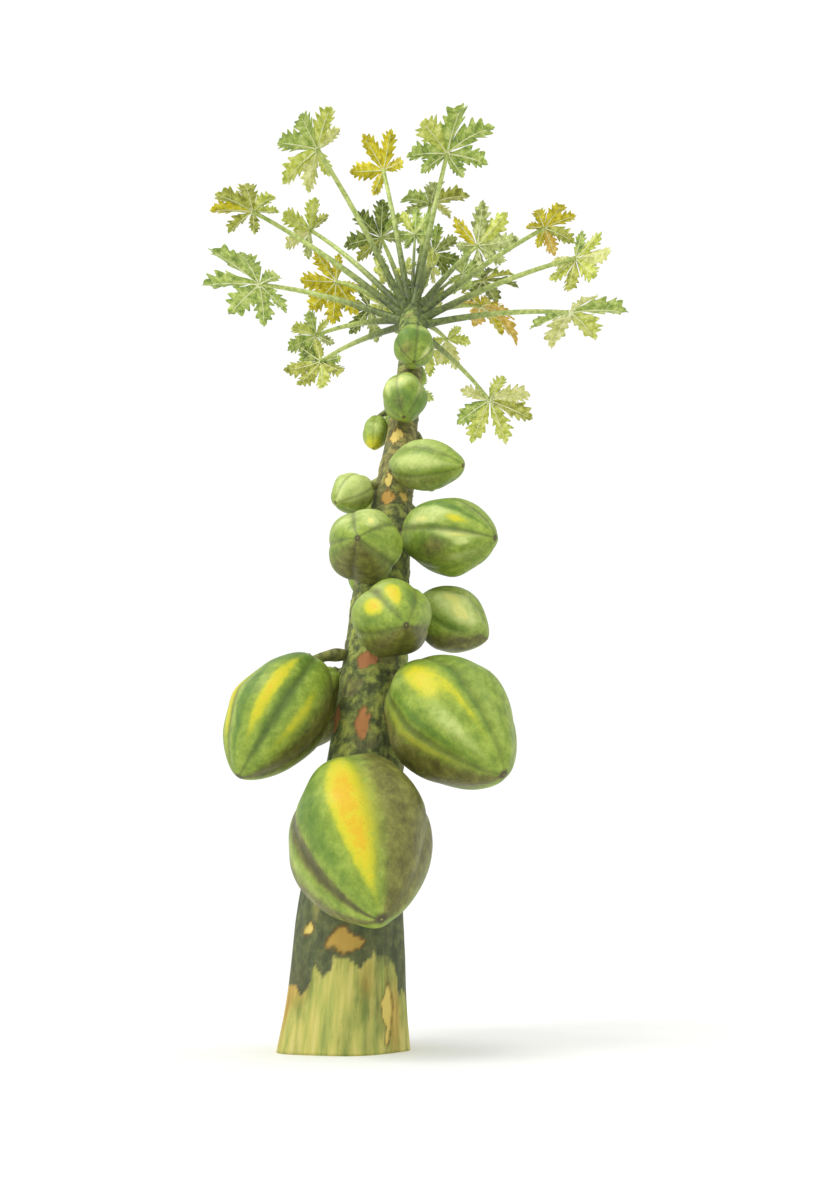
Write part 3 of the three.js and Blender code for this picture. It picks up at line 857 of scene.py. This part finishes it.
# %% The stalks, sepals and blossom scars
STALK_STEPS, STALK_SIDES, KNOB_SIDES = 22, 14, 10
SEPALS, SEPAL_THICKNESS = 5, 1.6
stalks = Bundle()
for height, bearing, lean, lean_turn, out, length, width, furrow_turn in FRUITS:
    stem_end, axis, outer, beyond = fruit_frame(height, bearing, lean, lean_turn, out)
    root_height = height + 0.5 * out
    x, y, radius = trunk_at(root_height)
    root = np.array([x, y, root_height]) + aim(bearing, 0) * 0.7 * radius
    line = bent_line(root, stem_end - axis * 0.35 * out, stem_end + axis * 0.05 * length, STALK_STEPS)
    t = np.linspace(0, 1, STALK_STEPS)
    thick = (7 + 0.022 * width) * (1 + 0.35 * bell((t - 0.3) / 0.15) + 0.4 * smooth(0.7, 1, t))
    stalks.add(*capped_tube(tube_grid(line, thick, STALK_SIDES)))
    for sepal in range(SEPALS):
        angle = math.radians(FURROW_STEP * (sepal + 0.5) + furrow_turn)
        outward = outer * math.cos(angle) + beyond * math.sin(angle)
        sideways = np.cross(axis, outward)
        t = np.linspace(0, 1, 7)[:, None, None]
        s = np.linspace(-1, 1, 5)[None, :, None]
        reach = 8 + 0.1 * width * t
        lift = length * 0.02 + 0.3 * width * (t * 0.2) ** 2 - 2 + 1.5 * s**2
        blade = stem_end + outward * reach + axis * lift + sideways * s * (5.5 * (1 - t**2) + 0.4)
        stalks.add(*closed_sheet(blade, blade + axis * SEPAL_THICKNESS))
    knob = [stem_end + axis * length * share for share in (0.972, 0.985, 0.995, 1.001)]
    stalks.add(*capped_tube(tube_grid(knob, [5, 4, 3.4, 1.6], KNOB_SIDES)))
settle(stalks.make("fruit_stalks", green_stalk), "fruit")

# %% [markdown]
# ## The crown
#
# The leaves stand on long hollow stalks, called petioles, that spread from the stem's tip like
# the ribs of a parasol. Each row gives the bearing and rise of a leaf's hub seen from the middle
# of the crown, how far out it is, the length of its longest lobe, how many lobes it has, how far
# the blade droops, rolls to one side and spins round its hub, and its tint. Old leaves turn yellow
# and ochre. A curve with a bevel would make a petiole too, but here the hub's place comes first,
# and the petiole is bent to reach it.

# %% Where the leaves stand
CROWN = np.array([92.0, 0.0, 2330.0])
LEAVES = [
    [-179, 16, 670, 255, 7, -10, -20, 8, "mid"],
    [-160, 25, 750, 184, 7, 20, -20, 32, "olive"],
    [-129, 31, 650, 194, 7, 30, 10, -24, "light"],
    [-110, 56, 600, 160, 5, -20, -10, -16, "ochre"],
    [-170, 49, 700, 176, 5, 30, 0, 32, "light"],
    [-153, 72, 500, 194, 7, 15, 0, 24, "dark"],
    [166, 49, 550, 208, 7, 30, 24, -12, "yellow"],
    [128, 57, 650, 180, 5, 14, 8, 10, "dark"],
    [145, 34, 700, 184, 7, 28, -15, 28, "light"],
    [141, 20, 600, 188, 7, 45, 52, 0, "olive"],
    [-72, 36, 550, 214, 7, 20, 15, -8, "mid"],
    [-67, 68, 550, 194, 5, 30, 20, -8, "grey"],
    [-17, 51, 470, 190, 7, -35, -45, -12, "grey"],
    [0, 79, 500, 145, 7, -5, -18, -32, "dark"],
    [23, 56, 650, 205, 7, -20, 30, -18, "dark"],
    [-18, 28, 650, 158, 7, 5, 20, -12, "yellow"],
    [-10, 15, 700, 166, 7, 35, -50, 32, "light"],
    [4, 6, 670, 270, 5, -10, 35, 36, "mid"],
    [31, 47, 550, 250, 7, 0, 50, -14, "ochre"],
    [63, 43, 500, 146, 5, 16, 4, -6, "light"],
    [80, 45, 650, 140, 5, 20, -4, 0, "light"],
    [54, 12, 660, 262, 7, 12, 5, 8, "light"],
    [100, 68, 480, 180, 7, 14, 4, -6, "mid"],
    [90, 26, 600, 140, 5, 16, 6, -10, "mid"],
]
LOBE_PLANS = {
    5: ([-112, -55, 0, 55, 112], [0.68, 0.92, 1, 0.92, 0.68]),
    7: ([-132, -86, -42, 0, 42, 86, 132], [0.62, 0.84, 0.96, 1, 0.96, 0.84, 0.62]),
}
ROOT_LOW, ROOT_HIGH = 2205, 2400
PETIOLE_ROOT_RADIUS, PETIOLE_TIP_RADIUS = 15.0, 7.5
PETIOLE_ARCH, PETIOLE_STEPS, PETIOLE_SIDES = 0.06, 30, 14


def petiole_line(bearing, rise, reach):
    """The petiole's curve from inside the stem to the leaf's hub."""
    hub = CROWN + reach * aim(bearing, rise)
    root_height = ROOT_LOW + (ROOT_HIGH - ROOT_LOW) * rise / 90
    x, y, radius = trunk_at(root_height)
    root = np.array([x, y, root_height]) + aim(bearing, 0) * 0.6 * radius
    bend = root + (hub - root) * 0.55 + UP * 2 * PETIOLE_ARCH * reach
    return bent_line(root, bend, hub, PETIOLE_STEPS)


print(len(LEAVES), "leaves, the farthest", max(row[2] for row in LEAVES), "mm out")

# %% [markdown]
# ## A blade's lobes
#
# A papaya leaf is cut nearly to its hub into five to seven lobes, and each lobe is cut again into
# pointed teeth that lean forward along the side veins. One lobe is a grid: rows follow the side
# veins, so they all lean forward by the same slope and never cross, and the row's length makes the
# outline. Near the hub the rows stop halfway to the next lobe, so that neighbours meet in a web.
# The lobe folds along its midrib and its edge waves. An image with an alpha mask would be lighter,
# but a cut mesh keeps its outline from close by and in the exported model.

# %% One lobe
LOBE_ROWS, LOBE_COLUMNS = 48, 9
MIDRIB = LOBE_COLUMNS // 2
VEIN_SLOPE = 0.7
LOBE_FOLD, BLADE_THICKNESS = 0.42, 1.4
TEETH, TEETH_START, TEETH_SPAN = 5, 0.14, 0.86
NO_LIMIT = 9.0


def half_widths(t, gap, rng):
    """One side's width along the lobe, as a share of its length: waist, belly, teeth and point."""
    belly = 0.045 + 0.185 * smooth(0.0, 0.36, t) - 0.175 * smooth(0.62, 1.0, t)
    beat = np.clip((t - TEETH_START) / TEETH_SPAN, 0, 1) ** rng.uniform(0.85, 1.2) * TEETH
    beat += rng.uniform(-0.12, 0.12)
    number = np.clip(np.floor(beat).astype(int), 0, TEETH - 1)
    beat = beat % 1
    tooth = np.where(beat < 0.7, smooth(0, 0.7, beat), 1 - smooth(0.7, 1.0, beat))
    depth = rng.uniform(0.26, 0.54, TEETH)[number] * smooth(0.1, 0.4, t)
    wide = belly * (1 - depth * (1 - tooth)) * (1 - smooth(0.92, 1.0, t) * 0.96)
    slope = math.tan(math.radians(gap / 2))
    limit = np.full_like(t, NO_LIMIT)
    if slope * VEIN_SLOPE < 0.9:
        limit = t * slope / (1 - VEIN_SLOPE * slope)
    return np.minimum(wide, limit)


def lobe_grid(length, left_gap, right_gap, rng):
    """A lobe in its own plane: x along the midrib, y across it and z out of it, in millimetres."""
    t = np.linspace(0.02, 1, LOBE_ROWS)
    s = np.linspace(-1, 1, LOBE_COLUMNS)[None, :]
    right, left = half_widths(t, right_gap, rng)[:, None], half_widths(t, left_gap, rng)[:, None]
    y = length * np.where(s < 0, s * right, s * left)
    x = length * t[:, None] * 0.97 + VEIN_SLOPE * np.abs(y) * (1 - 0.75 * smooth(0.75, 1, t))[:, None]
    start, shift = rng.uniform(0, 1), rng.uniform(0.5, 2)
    wave = np.sin(2 * math.pi * (2.6 * t[:, None] + start) + np.sign(s) * shift)
    pucker = np.cos(2 * math.pi * TEETH * (t[:, None] - TEETH_START) / TEETH_SPAN)
    pucker = pucker * (1 - np.abs(s)) * np.abs(s)
    z = LOBE_FOLD * np.abs(y) + length * (0.018 * wave * s**2 + 0.02 * pucker)
    y = y + length * rng.uniform(-0.07, 0.07) * (t**2)[:, None]
    return np.stack([x, y, z], -1)


print(f"a lobe is {LOBE_ROWS} rows of {LOBE_COLUMNS} points, with {TEETH} teeth to a side")


# %% From a flat lobe to its place on the plant
def turned(vector, axis, degrees):
    """A vector turned about an axis at right angles to it."""
    angle = math.radians(degrees)
    return vector * math.cos(angle) + np.cross(axis, vector) * math.sin(angle)


def blade_frame(bearing, droop, roll, spin):
    """The blade's forward, sideways and upward directions, after its droop, roll and spin."""
    forward = aim(bearing, -droop)
    sideways = turned(aim(bearing + 90, 0), forward, roll)
    normal = np.cross(forward, sideways)
    return turned(forward, normal, spin), turned(sideways, normal, spin), normal


def bend_blade(points, hub, blade, angle, roll, sag):
    """Turns a lobe by its angle round the hub, rolls it, and lets it sag away from the hub."""
    forward, sideways, normal = blade
    bearing, rolled = math.radians(angle), math.radians(roll)
    out = forward * math.cos(bearing) + sideways * math.sin(bearing)
    across = sideways * math.cos(bearing) - forward * math.sin(bearing)
    x, y, z = points[..., 0:1], points[..., 1:2], points[..., 2:3]
    y, z = y * math.cos(rolled) - z * math.sin(rolled), y * math.sin(rolled) + z * math.cos(rolled)
    return hub + out * x + across * y + normal * (z - sag * (x**2 + y**2))


# %% [markdown]
# ## Growing the leaves
#
# The blades are sorted by tint, and all lobes of a tint become one piece. A leaf doesn't turn all
# at once, so some lobes have a tint of their own, and about one in four takes a neighbouring tint
# by chance. The veins are raised on the underside and paler than the blade: a midrib runs down
# each lobe and a side vein into each tooth. They are one piece, and the petioles are another.
# Twelve young leaves, small and cupped upward, stand close in the middle.

# %% The tints of the lobes
LOBE_TINTS = {
    2: {2: "yellow", 5: "light"},
    3: {3: "mid", 4: "mid", 6: "pale"},
    4: dict.fromkeys(range(5), "yellow"),
    5: {4: "olive", 0: "grey"},
    6: {5: "mid", 1: "olive"},
    7: dict.fromkeys(range(7), "yellow"),
    9: {0: "grey", 1: "mid", 2: "mid", 3: "mid", 5: "mid"},
    10: {0: "mid", 5: "dark"},
    11: {**dict.fromkeys(range(6), "mid"), 2: "light"},
    12: {1: "mid", 3: "olive"},
    13: {1: "yellow", 2: "grey", 3: "light"},
    14: {2: "mid"},
    15: {0: "grey", 2: "light"},
    16: {**dict.fromkeys(range(7), "yellow"), 4: "olive", 5: "ochre"},
    17: {0: "mid", 2: "pale", 4: "olive"},
    18: {0: "pale", 1: "mid", 2: "light", 3: "pale", 4: "mid"},
    19: {**dict.fromkeys(range(7), "ochre"), 0: "yellow", 1: "yellow", 4: "yellow"},
    22: {5: "mid", 2: "olive"},
}
SECOND_TINTS = {
    "dark": "grey", "mid": "light", "light": "pale", "olive": "light", "grey": "pale",
    "yellow": "olive", "ochre": "yellow", "pale": "light",
}
SECOND_TINT_CHANCE = 0.25
print("leaves with lobes of another tint:", len(LOBE_TINTS))

# %% One leaf
BLADE_SAG, YOUNG_SAG = 0.26, -0.15
YOUNG_LEAVES, YOUNG_STALK = 12, 0.62
RIB_ROWS = slice(0, 44, 4)
RIB_SIDES, VEIN_SIDES, HUB_SIDES = 7, 5, 12
blades = {tint: Bundle() for tint in SECOND_TINTS}
veins, petioles = Bundle(), Bundle()


def grow_lobe(grid, place, lobe, tint):
    """Adds a lobe's blade, its midrib and its side veins."""
    half = np.array([0, 0, BLADE_THICKNESS / 2])
    upper, lower = bend_blade(grid + half, *place), bend_blade(grid - half, *place)
    blades[tint].add(*closed_sheet(upper, lower))
    rib = bend_blade(grid[RIB_ROWS, MIDRIB] - half, *place)
    veins.add(*capped_tube(tube_grid(rib, np.linspace(0.0145, 0.005, len(rib)) * lobe, RIB_SIDES)))
    for tooth in range(TEETH):
        row = int((TEETH_START + TEETH_SPAN * (tooth + 0.66) / TEETH) * (LOBE_ROWS - 1))
        for side in (slice(MIDRIB, 0, -1), slice(MIDRIB, -1)):
            vein = bend_blade(grid[row, side] - half, *place)
            thick = np.linspace(0.004, 0.0022, len(vein)) * lobe
            veins.add(*capped_tube(tube_grid(vein, thick, VEIN_SIDES)))


def grow_leaf(bearing, rise, reach, lobe, lobes, blade, tints, rng, stalk=1.0, sag=BLADE_SAG):
    """Adds one leaf's petiole, blade and veins to the joined pieces."""
    line = petiole_line(bearing, rise, reach)
    hub = line[-1]
    t = np.linspace(0, 1, PETIOLE_STEPS)
    thick = PETIOLE_ROOT_RADIUS + (PETIOLE_TIP_RADIUS - PETIOLE_ROOT_RADIUS) * t**0.7
    thick = stalk * (thick + 5 * bell(t / 0.06) + 2.0 * smooth(0.95, 1, t))
    petioles.add(*capped_tube(tube_grid(line, thick, PETIOLE_SIDES)))
    angles, lengths = LOBE_PLANS[lobes]
    tint_chance = np.random.default_rng(int(reach + lobe))
    for number, (angle, share) in enumerate(zip(angles, lengths)):
        length = lobe * share * rng.uniform(0.88, 1.02)
        left_gap = angles[number + 1] - angle if number + 1 < lobes else 360 - 2 * angle
        right_gap = angle - angles[number - 1] if number else 360 + 2 * angle
        roll = rng.uniform(-13, 13)
        swing = angle + rng.uniform(-7, 7)
        place = (hub, blade, swing, roll, sag / lobe * rng.uniform(0.7, 1.25))
        second = tint_chance.uniform() < SECOND_TINT_CHANCE
        tint = tints.get(number, SECOND_TINTS[tints["all"]] if second else tints["all"])
        grow_lobe(lobe_grid(length, left_gap, right_gap, rng), place, lobe, tint)
    knob = [hub + UP * lobe * share for share in (-0.035, -0.02, 0.004, 0.016)]
    veins.add(*capped_tube(tube_grid(knob, np.array([0.03, 0.05, 0.045, 0.012]) * lobe, HUB_SIDES)))


# %% Grow the leaves
for number, (bearing, rise, reach, lobe, lobes, droop, roll, spin, tint) in enumerate(LEAVES, 1):
    tints = {"all": tint, **LOBE_TINTS.get(number, {})}
    blade = blade_frame(bearing, droop, roll, spin)
    grow_leaf(bearing, rise, reach, lobe, lobes, blade, tints, np.random.default_rng(400 + number))
for young in range(YOUNG_LEAVES):
    rng = np.random.default_rng(500 + young)
    bearing, rise, reach = young * GOLDEN_ANGLE, 54 + 2.8 * young, 370 - 22 * young
    tints = {"all": "light" if young % 2 else "mid"}
    blade = blade_frame(bearing, -20 - 5 * young, rng.uniform(-15, 15), rng.uniform(-20, 20))
    grow_leaf(bearing, rise, reach, reach * 0.34, 7, blade, tints, rng, YOUNG_STALK, YOUNG_SAG)
print({tint: blade.count for tint, blade in blades.items()}, "points by tint")

# %% [markdown]
# ## Leaf tissue, veins and petioles
#
# A living blade is soft and faintly waxy, so its roughness is middling, 0.56, its index of
# refraction is that of watery tissue, 1.36, and its colour drifts in patches of two centimetres or
# so between a darker and a lighter tone. The tints are plain colours dealt out by leaf and lobe.
# Veins are pale because they hold little chlorophyll. Petioles are smooth and a little shinier, and pale
# green farther out; near the stem's tip, where they crowd together, shade is painted on them as a darker
# green.

# %% Leaf finishes
LEAF_TONES = {
    "dark": ["#465420", "#6c7d30", "#a6b262"],
    "mid": ["#668036", "#98ae4c", "#c8d47e"],
    "light": ["#8c9832", "#bac44e", "#dfe28a"],
    "olive": ["#717527", "#a1a640", "#cecf72"],
    "grey": ["#6c763a", "#a0ac5e", "#cfd698"],
    "yellow": ["#968c08", "#bfb210", "#e0d43e"],
    "ochre": ["#a8902c", "#cfac42", "#e8cf76"],
    "pale": ["#a4aa50", "#ccce7a", "#e6e6aa"],
}
# Distances in metres from the crown's middle over which the petioles' painted shade gives way to their
# pale green.
NEAR_REACH, FAR_REACH = 0.1, 0.46


def leaf_tissue(tint):
    """The finish of a leaf blade in one tint."""
    def colour(tree):
        stops = list(zip((0.36, 0.5, 0.64), LEAF_TONES[tint]))
        drift = add(tree, "ValToRGB", {"stops": stops}, Fac=clouds(tree, 24, detail=6, rough=0.65))
        grain = clouds(tree, 5, detail=2)
        grain = add(tree, "MapRange", SOFT_ENDS, Value=grain, From_Min=0.5, From_Max=0.75)
        faint = add(tree, "Math", {"operation": "MULTIPLY"}, _0=grain, _1=0.35)
        return layered(tree, drift, (faint, LEAF_TONES[tint][-1]))

    def relief(tree):
        return clouds(tree, 7, detail=4)

    return new_material(f"leaf_tissue_{tint}", 0.56, colour, relief, 0.8, IOR=1.36)


def vein_colour(tree):
    return add(tree, "ValToRGB", {"stops": [(0.35, "#c6cc8a"), (0.65, "#e6e8bc")]}, Fac=clouds(tree, 40))


def petiole_colour(tree):
    place = add(tree, "TexCoord", out="Object")
    reach = add(tree, "VectorMath", {"operation": "DISTANCE"}, _0=place, _1=CROWN * MM)
    streaks = clouds(tree, 16, detail=5)
    # Painted shade: dark green near the crown's middle, where the petioles crowd.
    crown_shade = add(tree, "ValToRGB", {"stops": [(0.35, "#38441f"), (0.65, "#66752f")]}, Fac=streaks)
    far = add(tree, "ValToRGB", {"stops": [(0.35, "#869c45"), (0.65, "#bfca76")]}, Fac=streaks)
    return layered(tree, crown_shade, (reach, NEAR_REACH, FAR_REACH, far))


def fibre_relief(tree):
    return clouds(tree, 4, detail=4)


leaf_vein = new_material("leaf_vein", 0.5, vein_colour, fibre_relief, 0.3)
petiole_skin = new_material("petiole_skin", 0.46, petiole_colour, fibre_relief, 0.5)

# %% The crown's pieces
leaf_nodes = [f"leaf_{number:02d}" for number in range(1, len(LEAVES) + 1)]
for tint, blade in blades.items():
    piece = blade.make(f"leaf_blades_{tint}", leaf_tissue(tint))
    slot = "leaf_light" if tint == "pale" else f"leaf_{tint}"
    settle(piece, slot, *[name for name, leaf in zip(leaf_nodes, LEAVES) if leaf[-1] == tint])
settle(veins.make("leaf_veins", leaf_vein), "leaf_light")
settle(petioles.make("petioles", petiole_skin), "leaf_light")

# %% [markdown]
# ## Floor, light and camera
#
# The plant stands on a plain pale floor under an even white sky, as in a studio with white walls.
# One large soft lamp at the upper left of the front models the round forms. The camera is low
# and close, and looks up along the stem, which makes the foot broad and the crown small.

# %% The floor
# Matte wall paint: nearly white, with no sheen, and rolled to a fine 3 mm grain.
FLOOR_HALF = 14.0


def floor_colour(tree):
    drift = clouds(tree, 300, detail=3)
    return add(tree, "ValToRGB", {"stops": [(0.3, "#fafaf8"), (0.7, "#fdfdfc")]}, Fac=drift)


def floor_relief(tree):
    return clouds(tree, 3, detail=2)


corners = np.array([[-1, -1, 0], [1, -1, 0], [1, 1, 0], [-1, 1, 0]]) * FLOOR_HALF / MM
matte_paint = new_material("matte_paint", 0.9, floor_colour, floor_relief, 0.1)
make_piece("studio_floor", corners, [[0, 1, 2, 3]], matte_paint)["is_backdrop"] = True

# %% The white room and its lamp
SKY_STRENGTH = 1.04
LAMP_SIZE, LAMP_WATTS = 2.2, 85
LAMP_PLACE, LAMP_TARGET = Vector((-2.0, -2.6, 3.4)), Vector((0.05, 0, 1.3))

room = bpy.data.worlds.new("white_room")
room.use_nodes = True
sky = room.node_tree.nodes["Background"]
sky.inputs["Color"].default_value = (1, 1, 1, 1)
sky.inputs["Strength"].default_value = SKY_STRENGTH
bpy.context.scene.world = room

lamp = bpy.data.lights.new("key_lamp", "AREA")
lamp.shape, lamp.size, lamp.energy = "SQUARE", LAMP_SIZE, LAMP_WATTS
key_lamp = bpy.data.objects.new("key_lamp", lamp)
key_lamp.location = LAMP_PLACE
key_lamp.rotation_euler = (LAMP_TARGET - LAMP_PLACE).to_track_quat("-Z", "Y").to_euler()
bpy.context.scene.collection.objects.link(key_lamp)
print("key lamp", round((LAMP_TARGET - LAMP_PLACE).length, 2), "m from the plant's middle")

# %% The camera
CAMERA_PLACE = Vector((0.127, -1.190, 0.082))
CAMERA_PITCH = 35.15
CAMERA_LENS, CAMERA_SENSOR = 16.94, 36.0
FAR_CLIP = 100

view = bpy.data.cameras.new("low_front")
view.lens, view.sensor_width, view.sensor_fit = CAMERA_LENS, CAMERA_SENSOR, "AUTO"
view.clip_end = FAR_CLIP
camera = bpy.data.objects.new("low_front", view)
camera.location = CAMERA_PLACE
camera.rotation_euler = (math.radians(90 + CAMERA_PITCH), 0, 0)
bpy.context.scene.collection.objects.link(camera)
bpy.context.scene.camera = camera
bpy.context.scene.view_settings.view_transform = "Standard"
print("camera at", [round(v, 3) for v in CAMERA_PLACE], "m, pitched up", CAMERA_PITCH, "degrees")

# %% Sizes, and the end
LOOKS_BOX = [list(corner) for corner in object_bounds()]
sizes = {"cad": CAD_BOX, "looks": LOOKS_BOX}
sizes = {name: [[float(v) for v in corner] for corner in box] for name, box in sizes.items()}
print("visual model box, metres:", [[round(v, 3) for v in corner] for corner in LOOKS_BOX])
